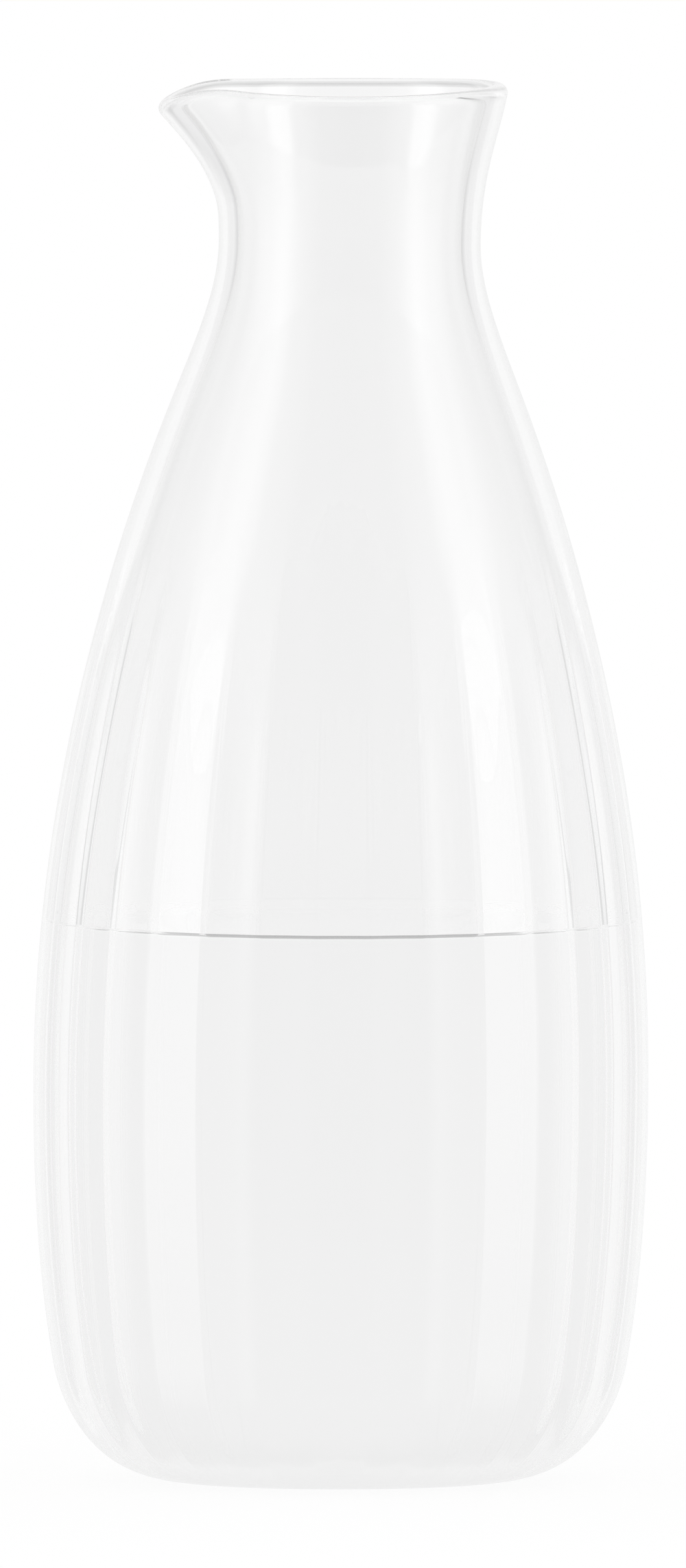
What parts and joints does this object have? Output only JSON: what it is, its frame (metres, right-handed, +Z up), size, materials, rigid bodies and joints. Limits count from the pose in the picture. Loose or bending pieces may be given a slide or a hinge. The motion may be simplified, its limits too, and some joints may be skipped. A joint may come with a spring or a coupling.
{
  "type": "sake carafe",
  "caption": "Clear glass sake carafe with a fluted round body, waisted neck and pulled pouring lip, part filled with clear sake, for serving it at table.",
  "frame": {"origin": "middle of the flat standing face, on the surface that the carafe stands on", "axes": "+Z up along the bottle to the mouth, -X towards the tip of the pouring lip"},
  "size_m": [0.0793, 0.0794, 0.1805],
  "materials": {
    "clear_glass": "clear, colourless, fire-polished blown glass with pressed flutes",
    "clear_sake": "clear, colourless liquid with a still surface"
  },
  "bodies": {
    "root": {"glass_body": "clear_glass", "sake_fill": "clear_sake"}
  },
  "joints": []
}
